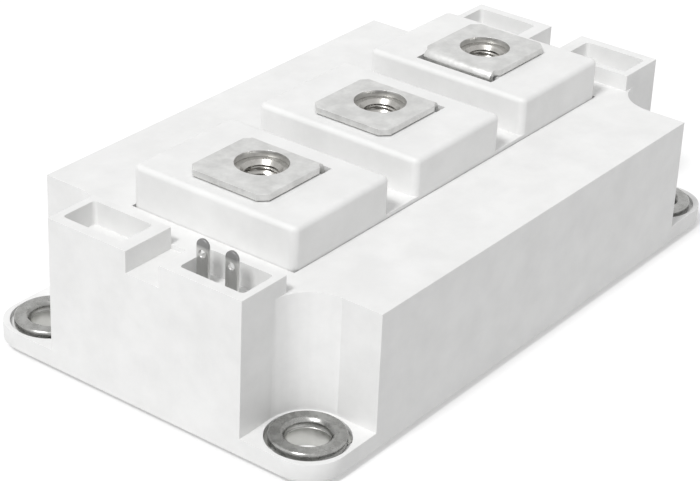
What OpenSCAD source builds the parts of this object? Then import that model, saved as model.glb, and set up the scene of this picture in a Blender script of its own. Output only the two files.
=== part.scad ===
// White power module, 62 mm class: a moulded housing on a metal base plate,
// a separate cover that carries three screw terminals, and one pair of
// control tabs.  Inside are two ceramic tiles with the chips.
//
// Frame: the base plate stands on z = 0, +X runs along the length, and the
// origin is the centre of the footprint.  All sizes are in millimetres.

/* [Housing] */
// Length of the housing
body_l = 106.4; // [106:0.2:112]
// Width of the housing
body_w = 61.4; // [61:0.2:66]
// Thickness of the four mounting ears
ear_t = 2.7; // [2.5:0.1:4]
// Corner radius of the ears
ear_r = 5.8; // [2:0.1:6.4]
// Height of the flat deck above the underside of the housing
deck_h = 21.4; // [19:0.1:26]
// Thickness of the deck
deck_t = 2.5; // [2:0.1:3]
// Thickness of the upright walls
wall = 2; // [1.5:0.1:2.5]

/* [Mounting] */
// Distance from a mounting hole to the two edges of its ear
hole_edge = 6.7; // [6.5:0.1:8]
// Bore of the mounting holes
hole_d = 6.4; // [5.4:0.1:6.8]
// Width kept free for a screw head and its washer
screw_space_d = 13; // [12.6:0.1:14]
// Outer diameter of the metal bushings
bushing_d = 11; // [9.6:0.1:12]
// How far the bushings stand above the ears
bushing_proud = 0.7; // [0.2:0.1:1.2]
// Countersink at the mouth of a bushing
bushing_sink = 0.5; // [0.2:0.1:0.8]
// Chamfer around the rim of a bushing
bushing_edge = 0.25; // [0.1:0.05:0.4]
// Ring gap between a bushing and its seat in the ear
seat_gap = 0.6; // [0.1:0.05:0.7]

/* [Base plate] */
// Thickness of the base plate
base_t = 3; // [2:0.1:3]
// How far the base plate stands below the housing
base_proud = 1; // [0.5:0.1:1.5]
// How far the base plate stays inside the edge of the housing
base_inset = 1.9; // [1.4:0.1:2.4]

/* [Contact boxes] */
// Length of a contact box
box_l = 9.3; // [8:0.1:10]
// Height of a contact box above the deck
box_rise = 2.7; // [2:0.1:5]
// Width of the notch between two boxes
notch_w = 6; // [4:0.1:8]
// Depth of the notch below the deck
notch_drop = 0.7; // [0.2:0.1:1]
// Wall of a box at the end of the housing
box_end_wall = 1.7; // [1:0.1:2.2]
// Wall of a box next to the notch
box_notch_wall = 2.2; // [1:0.1:3]
// The other two walls of a box
box_wall = 1.2; // [0.8:0.1:1.6]
// Depth of the pocket in a box
pocket_depth = 3.7; // [2.5:0.1:4.2]
// Corner radius of a pocket
pocket_r = 0.6; // [0.2:0.1:1.5]

/* [Terminal cover] */
// Distance between neighbouring power terminals
terminal_pitch = 28; // [27:0.1:29]
// Length of a terminal block
block_l = 21.6; // [20:0.1:24]
// Width of a terminal block
block_w = 29.6; // [24:0.1:30]
// Height of a terminal block above the grooves
block_rise = 6; // [5.4:0.1:8]
// Height of the groove floor above the deck
plinth_rise = 0.6; // [0.2:0.1:1.5]
// Radius of the upright edges of a block
block_r = 1.1; // [0.8:0.1:3]
// Radius of the top edges of a block
block_top_r = 0.8; // [0.3:0.1:1]
// Ledge that carries the cover
ledge_w = 1.5; // [0.8:0.1:2]
// Thickness of that ledge
ledge_t = 1; // [0.6:0.1:1.2]
// Clearance around the cover and the base plate
fit = 0.1; // [0.05:0.01:0.2]

/* [Power terminals] */
// Thickness of the terminal sheet
sheet_t = 1; // [0.6:0.1:1.2]
// Width of a terminal plate
plate_w = 14.1; // [12.6:0.1:15]
// Width of a terminal leg
leg_w = 12.7; // [9:0.1:12.7]
// Hole in a terminal plate
terminal_hole_d = 8; // [6.4:0.1:8.4]
// Free end beyond the hole of terminals 1 and 2
reach = 8.2; // [6.5:0.1:9.5]
// Free end beyond the hole of terminal 3
reach_3 = 7.4; // [6.5:0.1:9.5]
// Gap between a nut and the leg of terminals 1 and 2
leg_gap = 0.3; // [0.3:0.1:1.2]
// Gap between a nut and the leg of terminal 3
leg_gap_3 = 1.9; // [0.3:0.1:2.1]
// Corner cut at the free end
tip_cut = 1.3; // [0.5:0.1:2]
// Inside radius of the bends
bend_r = 0.3; // [0.1:0.1:1]
// Open gap in front of a leg
slot_gap = 0.7; // [0.3:0.1:1]
// Length of the foot at the lower end of a leg
foot_l = 4.2; // [3:0.1:5]

/* [Nuts] */
// Width across the flats of the nuts
nut_af = 10; // [9:0.1:10.2]
// Height of the nuts
nut_h = 5; // [4:0.1:5.4]
// Inner diameter of the nut thread
nut_bore_d = 5; // [4.2:0.1:5.4]
// Countersink at both mouths of the thread
nut_sink = 0.6; // [0.3:0.1:0.8]
// How far the nuts stand above their blocks
nut_proud = 0.2; // [0.1:0.05:0.4]
// Clearance around a nut
nut_fit = 0.15; // [0.05:0.01:0.3]
// Free depth for the screw below a nut
screw_room = 2; // [1:0.1:2.5]

/* [Control tabs] */
// Width of a control tab
tab_w = 2.1; // [1.6:0.1:2.8]
// Thickness of a control tab
tab_t = 0.5; // [0.4:0.1:0.8]
// Height of a control tab above its box
tab_rise = 3.4; // [2:0.1:6]
// Distance between the two control tabs
tab_pitch = 5.1; // [4.5:0.1:6]
// Gap from the first tab to the wall of its pocket
tab_margin = 0.4; // [0.2:0.1:1]
// Hole in a control tab
tab_hole_d = 1.1; // [0.5:0.1:1.2]
// Distance of that hole from the tip
tab_hole_drop = 2.2; // [1.5:0.1:3]
// Length of the root of a control tab below the underside of the deck
tab_root = 2.5; // [2:0.1:4]
// Diameter of the control leads
lead_d = 1.2; // [0.8:0.1:1.6]

/* [Power stage] */
// Thickness of the ceramic tiles
ceramic_t = 0.63; // [0.38:0.01:1]
// Thickness of the copper on both faces of a tile
copper_t = 0.3; // [0.2:0.01:0.5]
// Gap between a tile and the end of its bay
tile_end_gap = 0.5; // [0.3:0.1:2]
// Gap between a tile and the long walls
tile_side_gap = 3.7; // [2:0.1:5]
// Gap between the two tiles
tile_gap = 3; // [1:0.1:4]
// Bare rim of ceramic around the copper
copper_rim = 0.5; // [0.3:0.1:1]
// Bare line between two copper fields
copper_line = 0.8; // [0.5:0.1:1]
// Thickness of the chips
chip_t = 0.4; // [0.2:0.05:0.6]
// Length of a transistor chip
igbt_l = 8; // [6:0.1:9]
// Length of a diode chip
diode_l = 6; // [4:0.1:7]
// Gap between neighbouring chips in a row
chip_gap = 1; // [0.8:0.1:2]
// Gap between two rows of chips
column_gap = 2.4; // [1:0.1:3]
// Copper left beside the chips at the ends of a row
row_margin = 0.5; // [0.3:0.1:1.5]
// Gap between the chips and the foot of a terminal
foot_gap = 0.6; // [0.4:0.1:1.5]
// Width of the gate field
gate_field_w = 2.5; // [2:0.1:4]
// Width of the copper field under terminal 2
link_field_w = 10.5; // [9.5:0.1:12]
// Diameter of the bond wires
wire_d = 0.4; // [0.2:0.05:0.5]
// Distance between neighbouring bond wires
wire_pitch = 1.6; // [1:0.1:2]
// Thickness of the strap that links the two tiles
strap_t = 0.8; // [0.5:0.1:1.2]
// Width of that strap
strap_w = 8; // [5:0.1:10]
// Height of that strap above the copper
strap_rise = 2.5; // [1.5:0.1:3]
// Gap between the strap and the emitter lead
strap_gap = 1; // [0.5:0.1:1.5]
// Gel above the highest bond wire
gel_cover = 1.5; // [1:0.1:3]
// Free space that the gel leaves around the wires and the legs
gel_gap = 0.25; // [0.1:0.05:0.3]

/* [Hidden] */

$fn = 96;
eps = 0.01;      // overshoot of a cut past the face it opens
plastic = "white";
nickel = "silver";
copper = "peru";
chip_grey = "dimgray";
wire_grey = "gainsboro";

// Levels above the mounting face.
z_under = base_proud;
z_ear = z_under + ear_t;
z_base = base_t;
z_ring = z_ear + bushing_proud;
z_deck = z_under + deck_h;
z_roof = z_deck - deck_t;
z_rim = z_deck + box_rise;
z_notch = z_deck - notch_drop;
z_pocket = z_rim - pocket_depth;
z_ledge = z_roof + ledge_t;
z_plinth = z_deck + plinth_rise;
z_block = z_plinth + block_rise;
z_nut = z_block + nut_proud;
z_plate = z_nut + sheet_t;
z_tab = z_rim + tab_rise;
z_tab_foot = z_deck - deck_t - tab_root;

// Places in plan.
leg_x = nut_af / 2 + max(leg_gap, bend_r) + sheet_t;        // outer face of a leg
leg_x_3 = nut_af / 2 + max(leg_gap_3, bend_r) + sheet_t;
hole_x = body_l / 2 - hole_edge;
hole_y = body_w / 2 - hole_edge;
bay_x = hole_x - screw_space_d / 2;     // half length of the long faces
bay_y = hole_y - screw_space_d / 2;     // half width of the end faces
seat_d = bushing_d + 2 * seat_gap;
base_r = ear_r - min(ear_r / 2, base_inset);
cover_l = 2 * terminal_pitch + block_l;
box_in_x = body_l / 2 - box_l;          // inner end of a contact box
pocket_x0 = box_in_x + box_wall;
pocket_x1 = body_l / 2 - box_end_wall;
pocket_y0 = notch_w / 2 + box_notch_wall;
pocket_y1 = bay_y - box_wall;
tab_x = -(pocket_x0 + pocket_x1) / 2;
gate_y = -(pocket_y0 + tab_margin + tab_w / 2);
emitter_y = gate_y - tab_pitch;

// The power stage, worked from the walls inwards.
z_ceramic = z_base + copper_t;
z_copper = z_ceramic + ceramic_t;
z_chip = z_copper + copper_t;
z_wire = z_chip + chip_t;
tile_x0 = tile_gap / 2;
tile_x1 = bay_x - wall - tile_end_gap;
tile_w = body_w - 2 * wall - 2 * tile_side_gap;
field_w = tile_w - 2 * copper_rim;
field_x0 = tile_x0 + copper_rim;
field_x1 = tile_x1 - copper_rim;
gate_x0 = field_x1 - gate_field_w;
chip_margin = 1;                                    // copper left beside a chip
main_x1 = gate_x0 - copper_line;                    // main field of tile 1
main_x0 = main_x1 - 2 * chip_margin - igbt_l - column_gap - diode_l;
emitter_x1 = main_x0 - copper_line;                 // emitter field of tile 1
pad_margin = 0.7;                                   // copper left beside a wire
lead_gap = 0.6;                                     // gap between a wire and the emitter lead
igbt_x = -(main_x1 - chip_margin - igbt_l / 2);
diode_x = igbt_x + igbt_l / 2 + column_gap + diode_l / 2;
gate_x = -(field_x1 - gate_field_w / 2);
emitter_pad_x = -(emitter_x1 - pad_margin);
emitter_x = emitter_pad_x + (wire_d + lead_d) / 2 + lead_gap;
link_x1 = field_x0 + link_field_w;                  // field under terminal 2
free_x0 = link_x1 + copper_line;                    // field under terminal 3
land_x = link_x1 - pad_margin;
free_x = [free_x0 + chip_margin + diode_l / 2, free_x0 + chip_margin + diode_l * 3 / 2 + column_gap];
row_in = leg_w / 2 + foot_gap;                      // a row starts beside a terminal's foot
row_out = field_w / 2 - row_margin;
chip_w = (row_out - row_in - chip_gap) / 2;
row_y = [chip_w / 2 - row_out, -row_in - chip_w / 2, row_in + chip_w / 2, row_out - chip_w / 2];
wire_count = 3;
gate_bond_x = igbt_x - igbt_l / 4;                  // where a gate wire meets its chip
longest_wire = max(gate_bond_x - gate_x, diode_x - igbt_x, emitter_pad_x - diode_x,
    free_x[0] - land_x, free_x[1] - free_x[0]);
z_well = z_wire + longest_wire / 2 + wire_d + gel_gap;
z_gel = z_well + gel_cover;
z_run = (z_gel + z_tab_foot) / 2;                   // level run of the leads
strap_y = lead_d / 2 + strap_gap + strap_w / 2 - emitter_y;

// ---------------------------------------------------------------- helpers

module rounded_rect(l, w, r) {
    square([l - 2 * r, w], center = true);
    square([l, w - 2 * r], center = true);
    for (x = [-1, 1], y = [-1, 1])
        translate([x * (l / 2 - r), y * (w / 2 - r)]) circle(r);
}

module block_at(x0, x1, y0, y1, z0, z1) {
    translate([x0, y0, z0]) cube([x1 - x0, y1 - y0, z1 - z0]);
}

// Plan of the tall part of the housing, with its walls moved in by inset.
module tall_plan(inset) {
    r = screw_space_d / 2 + inset;
    far = body_l;
    difference() {
        square([body_l - 2 * inset, body_w - 2 * inset], center = true);
        for (x = [-1, 1], y = [-1, 1]) mirror([x < 0 ? 1 : 0, 0]) mirror([0, y < 0 ? 1 : 0])
            translate([hole_x, hole_y]) {
                circle(r);
                translate([0, -r]) square([far, far]);
                translate([-r, 0]) square([far, far]);
            }
    }
}

// ---------------------------------------------------------------- housing

module contact_box() {
    block_at(box_in_x, body_l / 2, notch_w / 2, bay_y, z_roof, z_rim);
}

module contact_pocket() {
    translate([(pocket_x0 + pocket_x1) / 2, (pocket_y0 + pocket_y1) / 2, z_pocket])
        linear_extrude(pocket_depth + 1)
            rounded_rect(pocket_x1 - pocket_x0, pocket_y1 - pocket_y0, pocket_r);
}

module each_corner() {
    for (x = [0, 1], y = [0, 1]) mirror([x, 0, 0]) mirror([0, y, 0]) children();
}

// Slot for the narrow root of a control tab.
module tab_slot(y) {
    block_at(tab_x - tab_t / 2 - fit, tab_x + tab_t / 2 + fit,
        y - lead_d / 2 - fit, y + lead_d / 2 + fit, z_roof - eps, z_pocket + eps);
}

module housing() {
    color(plastic) difference() {
        union() {
            translate([0, 0, z_under]) linear_extrude(ear_t) rounded_rect(body_l, body_w, ear_r);
            translate([0, 0, z_under]) linear_extrude(deck_h) tall_plan(0);
            each_corner() contact_box();
        }
        for (x = [0, 1]) mirror([x, 0, 0])
            block_at(box_in_x, body_l, -notch_w / 2, notch_w / 2, z_notch, z_rim);
        each_corner() contact_pocket();
        // Bay for the power stage.
        translate([0, 0, z_base - eps]) linear_extrude(z_roof - z_base + eps) tall_plan(wall);
        // Seat of the base plate.
        translate([0, 0, z_under - 1]) linear_extrude(z_base - z_under + 1)
            rounded_rect(body_l - 2 * base_inset + 2 * fit, body_w - 2 * base_inset + 2 * fit, base_r + fit);
        // Seats of the bushings.
        each_corner() translate([hole_x, hole_y, z_base]) cylinder(d = seat_d, h = ear_t + base_t);
        // Window for the cover, with the ledge that carries it.
        translate([0, 0, z_ledge]) linear_extrude(deck_t + box_rise)
            square([cover_l + 2 * fit, block_w + 2 * fit], center = true);
        translate([0, 0, z_roof - eps]) linear_extrude(deck_t)
            square([cover_l - 2 * ledge_w, block_w - 2 * ledge_w], center = true);
        tab_slot(gate_y);
        tab_slot(emitter_y);
    }
}

// ---------------------------------------------------------- terminal cover

// Section of a block of width w, with rounded top edges.
module block_section(w) {
    h = z_block - z_ledge;
    t = block_top_r;
    translate([-w / 2, 0]) square([w, h - t]);
    translate([-w / 2 + t, 0]) square([w - 2 * t, h]);
    for (s = [-1, 1]) translate([s * (w / 2 - t), h - t]) circle(t);
}

module terminal_block() {
    l = block_l - 2 * block_r;
    w = block_w - 2 * block_r;
    translate([0, 0, z_ledge]) {
        translate([-l / 2, 0, 0]) rotate([90, 0, 90]) linear_extrude(l) block_section(block_w);
        translate([0, w / 2, 0]) rotate([90, 0, 0]) linear_extrude(w) block_section(block_l);
        for (x = [-1, 1], y = [-1, 1]) translate([x * l / 2, y * w / 2, 0])
            rotate_extrude() intersection() {
                block_section(2 * block_r);
                square([block_r, z_block]);
            }
    }
}

// Slot for a leg whose outer face is at x; side points from the nut to the leg.
module leg_slot(x, side) {
    y = plate_w / 2 + fit;
    a = x + side * slot_gap;
    b = x - side * (sheet_t + slot_gap);
    block_at(min(a, b), max(a, b), -y, y, z_ledge - eps, z_block + 1);
}

module nut_pocket() {
    translate([0, 0, z_nut - nut_h])
        rotate(30) cylinder(d = (nut_af + 2 * nut_fit) / cos(30), h = nut_h + 1, $fn = 6);
    translate([0, 0, z_nut - nut_h - screw_room])
        cylinder(d = nut_bore_d + 2, h = screw_room + eps);
}

module terminal_cover() {
    color(plastic) difference() {
        union() {
            translate([0, 0, z_ledge]) linear_extrude(z_plinth - z_ledge)
                square([cover_l - 2 * block_r, block_w], center = true);
            for (i = [-1:1]) translate([i * terminal_pitch, 0, 0]) terminal_block();
        }
        for (i = [-1:1]) translate([i * terminal_pitch, 0, 0]) nut_pocket();
        for (i = [-1, 0]) translate([i * terminal_pitch, 0, 0]) leg_slot(leg_x, 1);
        translate([terminal_pitch, 0, 0]) leg_slot(-leg_x_3, -1);
    }
}

// -------------------------------------------------------------- base plate

module base_plate() {
    color(nickel) difference() {
        linear_extrude(base_t)
            rounded_rect(body_l - 2 * base_inset, body_w - 2 * base_inset, base_r);
        each_corner() translate([hole_x, hole_y, -1]) cylinder(d = hole_d, h = base_t + 2);
    }
}

module bushing(x, y) {
    r = hole_d / 2;
    h = z_ring - z_base;
    color(nickel) translate([x * hole_x, y * hole_y, z_base]) rotate_extrude() polygon([
        [r, 0], [bushing_d / 2, 0], [bushing_d / 2, h - bushing_edge],
        [bushing_d / 2 - bushing_edge, h], [r + bushing_sink, h], [r, h - bushing_sink]]);
}

// --------------------------------------------------------- power terminals

// Quarter bend whose axis lies along Y at the origin of the cross-section.
module bend(width) {
    rotate([90, 0, 0]) translate([0, 0, -width / 2]) rotate_extrude(angle = 90)
        translate([bend_r, 0]) square([sheet_t, width]);
}

// A terminal whose leg goes down at +X; the hole is at the origin.
module terminal_sheet(free_end, leg_face) {
    r = bend_r + sheet_t;
    heel_cut = (plate_w - leg_w) / 2;
    flat_end = leg_face - r;
    z_bend = z_plate - r;
    difference() {
        translate([0, 0, z_nut]) linear_extrude(sheet_t) polygon([
            [flat_end, leg_w / 2], [flat_end - heel_cut, plate_w / 2],
            [-free_end + tip_cut, plate_w / 2], [-free_end, plate_w / 2 - tip_cut],
            [-free_end, -plate_w / 2 + tip_cut], [-free_end + tip_cut, -plate_w / 2],
            [flat_end - heel_cut, -plate_w / 2], [flat_end, -leg_w / 2]]);
        translate([0, 0, z_nut - 1]) cylinder(d = terminal_hole_d, h = sheet_t + 2);
    }
    translate([flat_end, 0, z_bend]) bend(leg_w);
    block_at(leg_face - sheet_t, leg_face, -leg_w / 2, leg_w / 2, z_chip + r, z_bend);
    // The foot turns back under the plate and lies on the copper.
    translate([flat_end, 0, z_chip + r]) rotate([0, 90, 0]) bend(leg_w);
    block_at(leg_face - foot_l, flat_end, -leg_w / 2, leg_w / 2, z_chip, z_chip + sheet_t);
}

module power_terminal_1() {
    color(nickel) translate([-terminal_pitch, 0, 0]) terminal_sheet(reach, leg_x);
}

module power_terminal_2() {
    color(nickel) terminal_sheet(reach, leg_x);
}

module power_terminal_3() {
    color(nickel) translate([terminal_pitch, 0, 0]) mirror([1, 0, 0]) terminal_sheet(reach_3, leg_x_3);
}

module terminal_nut(i) {
    r = nut_bore_d / 2;
    color(nickel) translate([i * terminal_pitch, 0, z_nut - nut_h]) difference() {
        rotate(30) cylinder(d = nut_af / cos(30), h = nut_h, $fn = 6);
        translate([0, 0, -eps]) cylinder(d = nut_bore_d, h = nut_h + 2 * eps);
        translate([0, 0, nut_h - nut_sink]) cylinder(r1 = r, r2 = r + nut_sink + eps, h = nut_sink + eps);
        translate([0, 0, -eps]) cylinder(r1 = r + nut_sink + eps, r2 = r, h = nut_sink + eps);
    }
}

// ------------------------------------------------------------ control tabs

// A tab whose shoulders stand on the floor of its pocket.
module control_tab(y) {
    r = tab_w / 2;
    color(nickel) translate([tab_x - tab_t / 2, y, 0]) rotate([90, 0, 90]) difference() {
        linear_extrude(tab_t) {
            translate([-r, z_pocket]) square([tab_w, z_tab - r - z_pocket]);
            translate([-lead_d / 2, z_tab_foot]) square([lead_d, z_tab - r - z_tab_foot]);
            translate([0, z_tab - r]) circle(r);
        }
        translate([0, z_tab - tab_hole_drop, -1]) cylinder(d = tab_hole_d, h = tab_t + 2);
    }
}

// Quarter round of lead; its axis lies along Y at the origin.
module lead_elbow(turn) {
    rotate([90, 0, 0]) rotate(turn) rotate_extrude(angle = 90)
        translate([lead_d, 0]) circle(d = lead_d, $fn = 48);
}

// A lead that drops from a tab at x0, runs level at height z, and lands at x1.
module lead(x0, x1, y, z) {
    r = lead_d;
    color(wire_grey) translate([0, y, 0]) {
        translate([x0, 0, z + r]) cylinder(d = lead_d, h = z_tab_foot - z - r);
        translate([x0 + r, 0, z + r]) lead_elbow(180);
        translate([x0 + r, 0, z]) rotate([0, 90, 0]) cylinder(d = lead_d, h = x1 - x0 - 2 * r);
        translate([x1 - r, 0, z - r]) lead_elbow(0);
        translate([x1, 0, z_chip]) cylinder(d = lead_d, h = z - r - z_chip);
    }
}

module gate_lead() {
    lead(tab_x, gate_x, gate_y, z_run);
}

module emitter_lead() {
    lead(tab_x, emitter_x, emitter_y, z_run);
}

// ------------------------------------------------------------- power stage

module ceramic_tile(side) {
    color("white") block_at(min(side * tile_x0, side * tile_x1), max(side * tile_x0, side * tile_x1),
        -tile_w / 2, tile_w / 2, z_ceramic, z_copper);
}

module copper_field(x0, x1, z) {
    color(copper) block_at(min(x0, x1), max(x0, x1), -field_w / 2, field_w / 2, z, z + copper_t);
}

module top_copper_1() {
    copper_field(-field_x1, -gate_x0, z_copper);
    copper_field(-main_x1, -main_x0, z_copper);
    copper_field(-emitter_x1, -field_x0, z_copper);
}

module top_copper_2() {
    copper_field(field_x0, link_x1, z_copper);
    copper_field(free_x0, field_x1, z_copper);
}

module chip(x, y, l, w) {
    color(chip_grey) block_at(x - l / 2, x + l / 2, y - w / 2, y + w / 2, z_chip, z_wire);
}

module igbt_chip(i) {
    chip(igbt_x, row_y[i], igbt_l, chip_w);
}

module diode_chip(i) {
    chip(diode_x, row_y[i], diode_l, chip_w);
}

// Four diodes in the row nearest terminal 2, and two behind them.
module freewheel_diode(i) {
    chip(i < 4 ? free_x[0] : free_x[1], i < 4 ? row_y[i] : row_y[i - 3], diode_l, chip_w);
}

// One bond wire from x0 to x1 on the level z; a half ring that stands on both.
module bond_loop(x0, x1, y, z) {
    r = (x1 - x0) / 2;
    color(wire_grey) translate([x0 + r, y, z]) rotate([90, 0, 0])
        rotate_extrude(angle = 180, $fn = 64) translate([r, 0]) circle(d = wire_d, $fn = 16);
}

// A short post takes a wire from the copper up to the level of the chips.
module wire_post(x, y) {
    color(wire_grey) translate([x, y, z_chip]) cylinder(d = wire_d, h = chip_t, $fn = 16);
}

module wire_set(x0, x1, y, shift) {
    for (k = [0:wire_count - 1])
        bond_loop(x0, x1, y + shift + (k - (wire_count - 1) / 2) * wire_pitch, z_wire);
}

module post_set(x, y, shift) {
    for (k = [0:wire_count - 1])
        wire_post(x, y + shift + (k - (wire_count - 1) / 2) * wire_pitch);
}

wire_step = wire_pitch / 4;    // the second hop lands between the first wires

module gate_wires() {
    for (y = row_y) {
        bond_loop(gate_x, gate_bond_x, y, z_wire);
        wire_post(gate_x, y);
    }
}

module transistor_wires() {
    for (y = row_y) wire_set(igbt_x, diode_x, y, wire_step);
}

module diode_wires() {
    for (y = row_y) {
        wire_set(diode_x, emitter_pad_x, y, -wire_step);
        post_set(emitter_pad_x, y, -wire_step);
    }
}

module freewheel_wires() {
    for (y = row_y) {
        wire_set(land_x, free_x[0], y, wire_step);
        post_set(land_x, y, wire_step);
    }
    for (y = [row_y[1], row_y[2]]) wire_set(free_x[0], free_x[1], y, -wire_step);
}

// Copper strap over the gap between the tiles.
module link_strap() {
    a = field_x0 + chip_margin;
    b = a + strap_t;
    foot = 2 * strap_t;
    color(copper) for (y = [-1, 1]) translate([0, y * strap_y, 0]) {
        block_at(-b, b, -strap_w / 2, strap_w / 2, z_chip + strap_rise, z_chip + strap_rise + strap_t);
        for (s = [-1, 1]) {
            block_at(min(s * a, s * b), max(s * a, s * b), -strap_w / 2, strap_w / 2,
                z_chip, z_chip + strap_rise + strap_t);
            block_at(min(s * a, s * (b + foot)), max(s * a, s * (b + foot)), -strap_w / 2, strap_w / 2,
                z_chip, z_chip + strap_t);
        }
    }
}

// Room that the gel leaves around a leg.
module leg_room(x, side) {
    a = x + side * gel_gap;
    b = x - side * (sheet_t + gel_gap);
    block_at(min(a, b), max(a, b), -leg_w / 2 - gel_gap, leg_w / 2 + gel_gap, z_well - eps, z_gel + 1);
}

// Soft gel over the power stage, with a well over the tiles and their wires.
module silicone_gel() {
    color("lightcyan", 0.5) difference() {
        translate([0, 0, z_base]) linear_extrude(z_gel - z_base) tall_plan(wall);
        block_at(-tile_x1 - gel_gap, tile_x1 + gel_gap, -tile_w / 2 - gel_gap, tile_w / 2 + gel_gap,
            z_base - 1, z_well);
        for (i = [-1, 0]) leg_room(i * terminal_pitch + leg_x, 1);
        leg_room(terminal_pitch - leg_x_3, -1);
        translate([gate_x, gate_y, z_base]) cylinder(d = lead_d + 2 * gel_gap, h = z_gel);
        translate([emitter_x, emitter_y, z_base]) cylinder(d = lead_d + 2 * gel_gap, h = z_gel);
    }
}

// ------------------------------------------------------------------- nodes

housing();
terminal_cover();
base_plate();
bushing(-1, -1);  // bushing_1
bushing(1, -1);  // bushing_2
bushing(-1, 1);  // bushing_3
bushing(1, 1);  // bushing_4
power_terminal_1();
power_terminal_2();
power_terminal_3();
terminal_nut(-1);  // terminal_nut_1
terminal_nut(0);  // terminal_nut_2
terminal_nut(1);  // terminal_nut_3
control_tab(gate_y);  // gate_tab
control_tab(emitter_y);  // emitter_tab
gate_lead();
emitter_lead();
ceramic_tile(-1);  // ceramic_tile_1
ceramic_tile(1);  // ceramic_tile_2
copper_field(-field_x1, -field_x0, z_base);  // bottom_copper_1
copper_field(field_x0, field_x1, z_base);  // bottom_copper_2
top_copper_1();
top_copper_2();
igbt_chip(0);  // igbt_chip_1
igbt_chip(1);  // igbt_chip_2
igbt_chip(2);  // igbt_chip_3
igbt_chip(3);  // igbt_chip_4
diode_chip(0);  // diode_chip_1
diode_chip(1);  // diode_chip_2
diode_chip(2);  // diode_chip_3
diode_chip(3);  // diode_chip_4
freewheel_diode(0);  // freewheel_diode_1
freewheel_diode(1);  // freewheel_diode_2
freewheel_diode(2);  // freewheel_diode_3
freewheel_diode(3);  // freewheel_diode_4
freewheel_diode(4);  // freewheel_diode_5
freewheel_diode(5);  // freewheel_diode_6
gate_wires();
transistor_wires();
diode_wires();
freewheel_wires();
link_strap();
silicone_gel();
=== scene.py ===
"""A white power module on a pale studio floor: finishes, soft edges, nut threads, lights and camera."""
import math

import bmesh
import bpy
from mathutils import Matrix, Vector


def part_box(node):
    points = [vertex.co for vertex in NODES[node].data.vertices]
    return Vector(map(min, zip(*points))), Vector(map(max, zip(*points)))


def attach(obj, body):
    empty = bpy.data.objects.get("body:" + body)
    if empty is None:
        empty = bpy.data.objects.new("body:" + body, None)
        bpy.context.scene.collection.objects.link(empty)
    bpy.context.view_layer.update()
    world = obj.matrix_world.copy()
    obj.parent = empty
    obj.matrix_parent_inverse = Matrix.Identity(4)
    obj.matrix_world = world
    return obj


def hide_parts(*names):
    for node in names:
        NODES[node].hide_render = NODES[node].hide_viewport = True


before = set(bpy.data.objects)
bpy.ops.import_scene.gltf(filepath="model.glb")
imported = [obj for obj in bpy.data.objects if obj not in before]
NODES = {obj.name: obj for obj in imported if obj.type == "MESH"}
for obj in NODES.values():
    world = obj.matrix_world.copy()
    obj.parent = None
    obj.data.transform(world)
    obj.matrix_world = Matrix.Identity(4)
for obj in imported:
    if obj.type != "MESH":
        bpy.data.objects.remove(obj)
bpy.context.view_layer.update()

MM = 0.001


# ------------------------------------------------------------ places from the frame

def middle(node):
    """Centre of a CAD node's box."""
    low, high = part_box(node)
    return (Vector(low) + Vector(high)) / 2


def top(node):
    """Highest level of a CAD node."""
    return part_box(node)[1][2]


# ------------------------------------------------------------ shader helpers

class Shader:
    """A material's node tree with short calls for the nodes that the finishes use."""

    def __init__(self, name):
        self.material = bpy.data.materials.new(name)
        self.material.use_nodes = True
        self.tree = self.material.node_tree
        self.tree.nodes.clear()
        self.output = self.tree.nodes.new("ShaderNodeOutputMaterial")
        self.surface = self.tree.nodes.new("ShaderNodeBsdfPrincipled")
        self.link(self.surface.outputs["BSDF"], self.output.inputs["Surface"])

    def node(self, kind, **settings):
        made = self.tree.nodes.new(kind)
        for key, value in settings.items():
            setattr(made, key, value)
        return made

    def link(self, source, target):
        self.tree.links.new(source, target)

    def feed(self, socket, value):
        """Gives a socket a number, a colour as an RGB tuple, or what another socket puts out."""
        if isinstance(value, tuple):
            socket.default_value = (*value, 1.0)
        elif isinstance(value, (int, float)):
            socket.default_value = value
        else:
            self.link(value, socket)

    def position(self):
        return self.node("ShaderNodeTexCoord").outputs["Object"]

    def stretched(self, vector, scale):
        mapping = self.node("ShaderNodeMapping")
        mapping.inputs["Scale"].default_value = scale
        self.link(vector, mapping.inputs["Vector"])
        return mapping.outputs["Vector"]

    def noise(self, vector, scale, detail=4.0, roughness=0.5):
        made = self.node("ShaderNodeTexNoise")
        made.inputs["Scale"].default_value = scale
        made.inputs["Detail"].default_value = detail
        made.inputs["Roughness"].default_value = roughness
        self.link(vector, made.inputs["Vector"])
        return made.outputs["Fac"]

    def spread(self, value, low, high, to_low, to_high):
        """Moves the range low..high to the range to_low..to_high, and keeps values inside it."""
        made = self.node("ShaderNodeMapRange")
        for key, number in (("From Min", low), ("From Max", high), ("To Min", to_low), ("To Max", to_high)):
            made.inputs[key].default_value = number
        self.link(value, made.inputs["Value"])
        return made.outputs["Result"]

    def blend(self, factor, first, second):
        """Mix of two colours; each is an RGB tuple or a socket."""
        made = self.node("ShaderNodeMix", data_type="RGBA")
        self.link(factor, made.inputs[0])
        self.feed(made.inputs[6], first)
        self.feed(made.inputs[7], second)
        return made.outputs[2]

    def maths(self, operation, first, second=None):
        made = self.node("ShaderNodeMath", operation=operation)
        self.feed(made.inputs[0], first)
        if second is not None:
            self.feed(made.inputs[1], second)
        return made.outputs[0]

    def bump(self, height, strength, distance):
        made = self.node("ShaderNodeBump")
        made.inputs["Strength"].default_value = strength
        made.inputs["Distance"].default_value = distance
        self.link(height, made.inputs["Height"])
        self.link(made.outputs["Normal"], self.surface.inputs["Normal"])

    def colour(self, value):
        self.feed(self.surface.inputs["Base Color"], value)

    def roughness(self, value):
        self.feed(self.surface.inputs["Roughness"], value)

    def set(self, **values):
        for key, value in values.items():
            self.surface.inputs[key].default_value = value


# ------------------------------------------------------------ finishes

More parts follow.
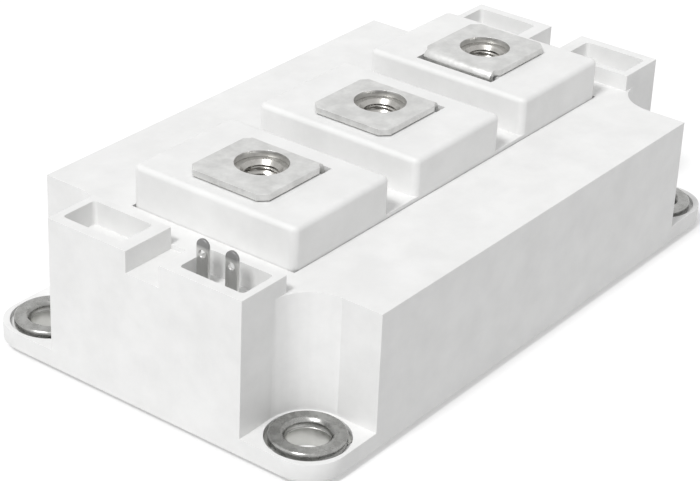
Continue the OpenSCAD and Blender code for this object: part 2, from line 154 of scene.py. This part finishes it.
RING_PITCH = 0.22 * MM  # from one turned ring to the next on a bushing


def white_plastic():
    """Glass-filled moulding: faint cloudy tone, fine grain, a slight sheen."""
    s = Shader("white_plastic")
    where = s.position()
    cloud = s.noise(where, 160, detail=5, roughness=0.6)
    grain = s.noise(where, 2600, detail=3)
    tone = s.spread(cloud, 0.35, 0.65, 0.0, 1.0)
    s.colour(s.blend(tone, (0.80, 0.80, 0.795), (0.855, 0.855, 0.85)))
    s.roughness(s.spread(grain, 0.3, 0.7, 0.42, 0.56))
    s.bump(grain, 0.12, 0.05 * MM)
    return s.material


def plated_sheet():
    """Plated copper sheet: satin, with faint rolling lines and cloudy handling marks."""
    s = Shader("plated_sheet")
    where = s.position()
    lines = s.noise(s.stretched(where, (1, 0.06, 1)), 2600, detail=3)
    marks = s.noise(where, 420, detail=6, roughness=0.65)
    tone = s.spread(marks, 0.38, 0.66, 0.0, 1.0)
    s.colour(s.blend(tone, (0.60, 0.60, 0.59), (0.74, 0.74, 0.73)))
    s.roughness(s.spread(marks, 0.35, 0.65, 0.30, 0.46))
    s.bump(lines, 0.18, 0.02 * MM)
    s.set(Metallic=1.0)
    return s.material


def turned_metal(hole_x, hole_y):
    """Turned face of the four bushings: fine rings round each hole, mirrored to all corners."""
    s = Shader("turned_metal")
    split = s.node("ShaderNodeSeparateXYZ")
    s.link(s.position(), split.inputs[0])
    across = s.maths("SUBTRACT", s.maths("ABSOLUTE", split.outputs[0]), hole_x)
    along = s.maths("SUBTRACT", s.maths("ABSOLUTE", split.outputs[1]), hole_y)
    radius = s.maths("SQRT", s.maths("ADD", s.maths("POWER", across, 2.0), s.maths("POWER", along, 2.0)))
    rings = s.maths("SINE", s.maths("MULTIPLY", radius, 2 * math.pi / RING_PITCH))
    marks = s.noise(s.position(), 700, detail=5)
    # The dark base tones are painted reflection: they are lowered to stand in for dark surroundings mirrored
    # in the metal.
    s.colour(s.blend(s.spread(marks, 0.35, 0.65, 0.0, 1.0), (0.30, 0.30, 0.29), (0.42, 0.42, 0.41)))
    s.roughness(s.spread(marks, 0.3, 0.7, 0.20, 0.36))
    s.bump(rings, 0.10, 0.01 * MM)
    s.set(Metallic=1.0)
    return s.material


def base_metal():
    """Nickel-plated base: satin, with long faint grinding lines."""
    s = Shader("base_metal")
    where = s.position()
    lines = s.noise(s.stretched(where, (0.03, 1, 1)), 1500, detail=4)
    s.colour(s.blend(lines, (0.50, 0.50, 0.48), (0.62, 0.62, 0.60)))
    s.roughness(s.spread(lines, 0.3, 0.7, 0.28, 0.42))
    s.bump(lines, 0.15, 0.02 * MM)
    s.set(Metallic=1.0)
    return s.material


def zinc_nut():
    """Zinc-plated nut steel, a little yellow, duller in patches."""
    s = Shader("zinc_nut")
    marks = s.noise(s.position(), 900, detail=5)
    s.colour(s.blend(marks, (0.34, 0.33, 0.31), (0.52, 0.51, 0.49)))
    s.roughness(s.spread(marks, 0.3, 0.7, 0.22, 0.38))
    s.set(Metallic=1.0)
    return s.material


def tinned_tab(tip_from, tip_to):
    """Tin-plated tab that turns darker towards its tip."""
    s = Shader("tinned_tab")
    where = s.position()
    split = s.node("ShaderNodeSeparateXYZ")
    s.link(where, split.inputs[0])
    tip = s.spread(split.outputs[2], tip_from, tip_to, 0.0, 1.0)
    marks = s.noise(s.stretched(where, (1, 1, 0.15)), 1800, detail=4)
    body = s.blend(marks, (0.52, 0.52, 0.51), (0.70, 0.70, 0.69))
    s.colour(s.blend(tip, body, (0.26, 0.26, 0.26)))
    s.roughness(s.spread(marks, 0.3, 0.7, 0.26, 0.42))
    s.set(Metallic=1.0)
    return s.material


def plain_metal(name, dark, light, scale):
    """Metal of an inner piece: two close tones in patches."""
    s = Shader(name)
    marks = s.noise(s.position(), scale, detail=4)
    s.colour(s.blend(marks, dark, light))
    s.roughness(s.spread(marks, 0.3, 0.7, 0.28, 0.45))
    s.set(Metallic=1.0)
    return s.material


def fired_ceramic():
    """Off-white ceramic tile with a fine grain."""
    s = Shader("fired_ceramic")
    grain = s.noise(s.position(), 3000, detail=3)
    s.colour(s.blend(grain, (0.78, 0.77, 0.73), (0.86, 0.85, 0.82)))
    s.roughness(0.6)
    s.bump(grain, 0.1, 0.01 * MM)
    return s.material


def silicon():
    """Chip face: dark grey, smooth, slightly cloudy."""
    s = Shader("silicon")
    cloud = s.noise(s.position(), 500, detail=3)
    s.colour(s.blend(cloud, (0.09, 0.095, 0.11), (0.15, 0.155, 0.17)))
    s.roughness(0.22)
    return s.material


def soft_gel():
    """Clear silicone gel."""
    s = Shader("soft_gel")
    cloud = s.noise(s.position(), 120, detail=3)
    s.colour(s.blend(cloud, (0.82, 0.88, 0.90), (0.90, 0.93, 0.94)))
    s.roughness(s.spread(cloud, 0.3, 0.7, 0.08, 0.14))
    s.set(Alpha=0.45, IOR=1.41)
    return s.material


# ------------------------------------------------------------ edges

WELD_DISTANCE = 0.002 * MM
FLAT_ANGLE = 0.6  # degrees; facets that meet at less than this become one face


def soften(node, width, segments=3, angle=35):
    """Merges a CAD node's facets into faces and rounds its sharp edges, as modifiers."""
    o = NODES[node]
    weld = o.modifiers.new("weld", "WELD")
    weld.merge_threshold = WELD_DISTANCE
    dissolve = o.modifiers.new("dissolve", "DECIMATE")
    dissolve.decimate_type = "DISSOLVE"
    dissolve.angle_limit = math.radians(FLAT_ANGLE)
    bevel = o.modifiers.new("edges", "BEVEL")
    bevel.width = width
    bevel.segments = segments
    bevel.limit_method = "ANGLE"
    bevel.angle_limit = math.radians(angle)
    bevel.harden_normals = True
    bevel.miter_outer = "MITER_ARC"


# ------------------------------------------------------------ nuts with threads

NUT_BORE = 2.5 * MM  # radius inside the thread
NUT_PITCH = 1.0 * MM
THREAD_DEPTH = 0.5 * MM
THREAD_FADE = 0.5 * NUT_PITCH
THREAD_SIDES = 64
STEPS_PER_PITCH = 10
MOUTH = 0.6 * MM  # chamfer at both ends of the bore
FOOT_SHARE = 0.9  # lower face, as a share of the hexagon
CROWN_SHARE = 0.93  # round upper face, as a share of the width across flats
FOOT_HEIGHT = 0.3 * MM
CROWN_HEIGHT = 0.4 * MM


def thread_radius(z, turn, low, high):
    """Radius of the threaded bore at height z and at a share of a turn; it fades out at both mouths."""
    phase = (z / NUT_PITCH - turn) % 1.0
    groove = 1.0 - abs(2.0 * phase - 1.0)
    fade = min(1.0, (z - low) / THREAD_FADE, (high - z) / THREAD_FADE)
    return NUT_BORE + THREAD_DEPTH * groove * max(0.0, fade)


def hex_radius(flats, turn):
    """Distance from the axis to the hexagon's side, with the flats towards +X and -X."""
    sixth = math.pi / 3
    angle = (turn * 2 * math.pi + sixth / 2) % sixth - sixth / 2
    return flats / 2 / math.cos(angle)


def threaded_nut(node, name, material):
    """A hexagon nut with a chamfered mouth and a real helical thread, in the CAD nut's place."""
    low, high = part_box(node)
    centre = middle(node)
    flats = high[0] - low[0]
    z0, z1 = low[2], high[2]
    thread_low, thread_high = z0 + MOUTH, z1 - MOUTH
    threaded = z1 - z0 - 2 * MOUTH
    steps = int(threaded / NUT_PITCH * STEPS_PER_PITCH)
    levels = [thread_low + threaded * k / steps for k in range(steps + 1)]
    bm = bmesh.new()

    def ring(radius_at, z_at):
        made = []
        for k in range(THREAD_SIDES):
            turn = k / THREAD_SIDES
            r = radius_at(turn)
            angle = 2 * math.pi * turn
            made.append(bm.verts.new((centre.x + r * math.cos(angle), centre.y + r * math.sin(angle), z_at)))
        return made

    rings = [
        ring(lambda t: hex_radius(flats, t) * FOOT_SHARE, z0),
        ring(lambda t: NUT_BORE + MOUTH, z0),
    ]
    rings += [ring(lambda t, z=z: thread_radius(z, t, thread_low, thread_high), z) for z in levels]
    rings += [
        ring(lambda t: NUT_BORE + MOUTH, z1),
        ring(lambda t: flats / 2 * CROWN_SHARE, z1),
        ring(lambda t: hex_radius(flats, t), z1 - CROWN_HEIGHT),
        ring(lambda t: hex_radius(flats, t), z0 + FOOT_HEIGHT),
    ]
    for first, second in zip(rings, rings[1:] + rings[:1]):
        for k in range(THREAD_SIDES):
            n = (k + 1) % THREAD_SIDES
            bm.faces.new((first[k], first[n], second[n], second[k]))
    bmesh.ops.recalc_face_normals(bm, faces=bm.faces)
    mesh = bpy.data.meshes.new(name)
    bm.to_mesh(mesh)
    bm.free()
    mesh.materials.append(material)
    nut = bpy.data.objects.new(name, mesh)
    bpy.context.scene.collection.objects.link(nut)
    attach(nut, "root")
    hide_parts(node)
    return nut


# ------------------------------------------------------------ light, floor, camera

WHITE = (1.0, 1.0, 1.0, 1.0)
SURROUND_LIGHT = 0.55  # strength of the white surround where it lights the module
FLOOR_COLOUR = (0.72, 0.72, 0.72, 1.0)
FLOOR_GLOW = 0.32  # what the floor adds for the camera and in reflections
FLOOR_SIZE = 6.0
FLOOR_LEVEL = -0.02 * MM  # just under the base, so that the two faces don't coincide


def ray_is(tree, *kinds):
    """Socket that is 1 for a ray of any of these kinds, and 0 for all others."""
    path = tree.nodes.new("ShaderNodeLightPath")
    found = path.outputs[f"Is {kinds[0]} Ray"]
    for kind in kinds[1:]:
        either = tree.nodes.new("ShaderNodeMath")
        either.operation = "MAXIMUM"
        tree.links.new(found, either.inputs[0])
        tree.links.new(path.outputs[f"Is {kind} Ray"], either.inputs[1])
        found = either.outputs[0]
    return found


def white_surround():
    """World that lights softly, and is plain white for the camera and in reflections."""
    world = bpy.data.worlds.new("studio")
    bpy.context.scene.world = world
    world.use_nodes = True
    tree = world.node_tree
    tree.nodes.clear()
    output = tree.nodes.new("ShaderNodeOutputWorld")
    mix = tree.nodes.new("ShaderNodeMixShader")
    tree.links.new(ray_is(tree, "Camera", "Glossy", "Transmission"), mix.inputs[0])
    for socket, strength in ((mix.inputs[1], SURROUND_LIGHT), (mix.inputs[2], 1.0)):
        background = tree.nodes.new("ShaderNodeBackground")
        background.inputs["Color"].default_value = WHITE
        background.inputs["Strength"].default_value = strength
        tree.links.new(background.outputs[0], socket)
    tree.links.new(mix.outputs[0], output.inputs["Surface"])


def pale_floor():
    """Matte floor that looks white to the camera and keeps the module's shadow."""
    material = bpy.data.materials.new("floor_white")
    material.use_nodes = True
    tree = material.node_tree
    tree.nodes.clear()
    output = tree.nodes.new("ShaderNodeOutputMaterial")
    matte = tree.nodes.new("ShaderNodeBsdfDiffuse")
    matte.inputs["Color"].default_value = FLOOR_COLOUR
    glow = tree.nodes.new("ShaderNodeEmission")
    strength = tree.nodes.new("ShaderNodeMath")
    strength.operation = "MULTIPLY"
    strength.inputs[1].default_value = FLOOR_GLOW
    total = tree.nodes.new("ShaderNodeAddShader")
    tree.links.new(ray_is(tree, "Camera", "Glossy"), strength.inputs[0])
    tree.links.new(strength.outputs[0], glow.inputs["Strength"])
    tree.links.new(matte.outputs[0], total.inputs[0])
    tree.links.new(glow.outputs[0], total.inputs[1])
    tree.links.new(total.outputs[0], output.inputs["Surface"])
    bpy.ops.mesh.primitive_plane_add(size=FLOOR_SIZE, location=(0, 0, FLOOR_LEVEL))
    floor = bpy.context.object
    floor.name = "floor"
    floor.data.materials.append(material)


def lamp(name, azimuth, elevation, strength, angle):
    """Soft sun, angles in degrees; azimuth is where it comes from, turned from +X towards +Y."""
    data = bpy.data.lights.new(name, "SUN")
    data.energy = strength
    data.angle = math.radians(angle)
    o = bpy.data.objects.new(name, data)
    a, e = math.radians(azimuth), math.radians(elevation)
    source = Vector((math.cos(a) * math.cos(e), math.sin(a) * math.cos(e), math.sin(e)))
    o.rotation_euler = source.to_track_quat("Z", "Y").to_euler()
    bpy.context.scene.collection.objects.link(o)


CAMERA_ANGLES = (-53.831, 28.317, 2.606)  # azimuth, elevation and roll in degrees
CAMERA_DISTANCE = 344.316 * MM
CAMERA_TARGET = Vector((2.923, 6.575, 2.774)) * MM
CAMERA_LENS = 111.31
CAMERA_SENSOR = 36


def camera():
    """The photograph's viewpoint: a long lens, from the -X end and above, turned a little."""
    azimuth, elevation, roll = (math.radians(v) for v in CAMERA_ANGLES)
    back = Vector((
        math.sin(azimuth) * math.cos(elevation),
        -math.cos(azimuth) * math.cos(elevation),
        math.sin(elevation),
    ))
    right = (-back).cross(Vector((0, 0, 1))).normalized()
    up = right.cross(-back)
    turned_right = right * math.cos(roll) + up * math.sin(roll)
    turned_up = up * math.cos(roll) - right * math.sin(roll)
    data = bpy.data.cameras.new("camera")
    data.lens = CAMERA_LENS
    data.sensor_width = CAMERA_SENSOR
    data.clip_start = 0.01
    data.clip_end = 20
    o = bpy.data.objects.new("camera", data)
    basis = Matrix((turned_right, turned_up, back)).transposed().to_4x4()
    o.matrix_world = Matrix.Translation(CAMERA_TARGET + back * CAMERA_DISTANCE) @ basis
    bpy.context.scene.collection.objects.link(o)
    bpy.context.scene.camera = o


# ------------------------------------------------------------ putting it together

TAB_TIP_FROM = 1.6 * MM  # the tabs' darker tip fades in between these depths below their top
TAB_TIP_TO = 1.0 * MM


def paint(material, *nodes):
    for node in nodes:
        slots = NODES[node].data.materials
        slots.clear()
        slots.append(material)


def numbered(stem, count):
    return [f"{stem}_{k}" for k in range(1, count + 1)]


bushings = numbered("bushing", 4)
terminals = numbered("power_terminal", 3)
nuts = numbered("terminal_nut", 3)
hole = middle("bushing_4")

paint(white_plastic(), "housing", "terminal_cover")
paint(base_metal(), "base_plate")
paint(turned_metal(abs(hole.x), abs(hole.y)), *bushings)
paint(plated_sheet(), *terminals)
tab_top = top("gate_tab")
paint(tinned_tab(tab_top - TAB_TIP_FROM, tab_top - TAB_TIP_TO), "gate_tab", "emitter_tab")
paint(plain_metal("tinned_wire", (0.60, 0.60, 0.59), (0.72, 0.72, 0.71), 900), "gate_lead", "emitter_lead")
paint(fired_ceramic(), "ceramic_tile_1", "ceramic_tile_2")
copper = plain_metal("bare_copper", (0.72, 0.36, 0.22), (0.84, 0.48, 0.32), 400)
paint(copper, "bottom_copper_1", "bottom_copper_2", "top_copper_1", "top_copper_2", "link_strap")
paint(silicon(), *numbered("igbt_chip", 4), *numbered("diode_chip", 4), *numbered("freewheel_diode", 6))
bright = plain_metal("bright_wire", (0.70, 0.70, 0.72), (0.85, 0.85, 0.87), 1500)
paint(bright, "gate_wires", "transistor_wires", "diode_wires", "freewheel_wires")
paint(soft_gel(), "silicone_gel")

soften("housing", 0.35 * MM)
soften("terminal_cover", 0.2 * MM)
for name in terminals:
    soften(name, 0.12 * MM)
for name in bushings:
    soften(name, 0.08 * MM, segments=2)
for name in ("gate_tab", "emitter_tab"):
    soften(name, 0.1 * MM, segments=2)
soften("base_plate", 0.2 * MM)

nut_finish = zinc_nut()
for k, node in enumerate(nuts, start=1):
    threaded_nut(node, f"threaded_nut_{k}", nut_finish)

white_surround()
pale_floor()
lamp("key", azimuth=182, elevation=55, strength=1.9, angle=14)
camera()
bpy.context.scene.view_settings.view_transform = "Standard"
